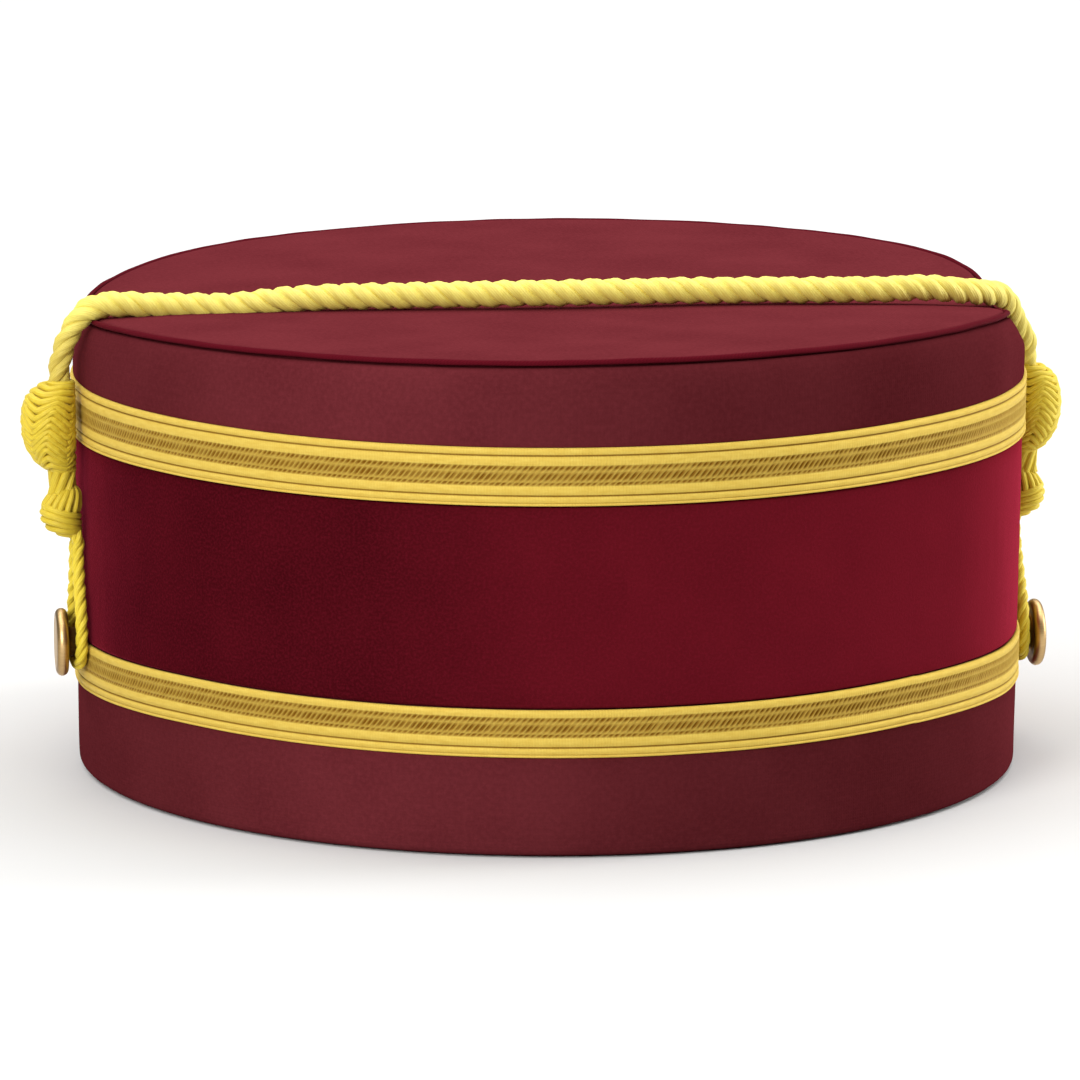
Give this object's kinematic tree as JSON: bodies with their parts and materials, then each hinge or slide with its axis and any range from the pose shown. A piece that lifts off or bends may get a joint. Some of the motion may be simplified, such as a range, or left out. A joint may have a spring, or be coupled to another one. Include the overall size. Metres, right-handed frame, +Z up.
{
  "type": "masonic crown cap",
  "caption": "Stiff oval lodge cap with a flat piped crown, a velvet band between gold laces, and a twisted gold cord looped over side buttons.",
  "frame": {"origin": "centre of the hem's underside, in the plane that the cap rests on", "axes": "+Z up through the crown, -Y to the wearer's front, +X to the right as seen in the picture"},
  "size_m": [0.2042, 0.2108, 0.0954],
  "materials": {
    "maroon_cloth": "smooth fine wool barathea, dull with a soft bloom",
    "piping_cloth": "fine cloth rolled over a cord",
    "maroon_velvet": "short cotton velvet pile",
    "gold_lace": "woven metallic lace with ribbed edges and a twilled middle",
    "gold_cord": "twisted and knotted yellow rayon cord",
    "button_brass": "antique brushed brass"
  },
  "bodies": {
    "root": {"side_wall": "maroon_cloth", "crown_top": "maroon_cloth", "crown_piping": "piping_cloth", "velvet_band": "maroon_velvet", "lower_lace": "gold_lace", "upper_lace": "gold_lace", "crown_cord": "gold_cord", "left_slide_knot": "gold_cord", "left_neck_cord": "gold_cord", "left_end_knot": "gold_cord", "left_button_loop": "gold_cord", "left_button": "button_brass", "right_slide_knot": "gold_cord", "right_neck_cord": "gold_cord", "right_end_knot": "gold_cord", "right_button_loop": "gold_cord", "right_button": "button_brass"}
  },
  "joints": []
}
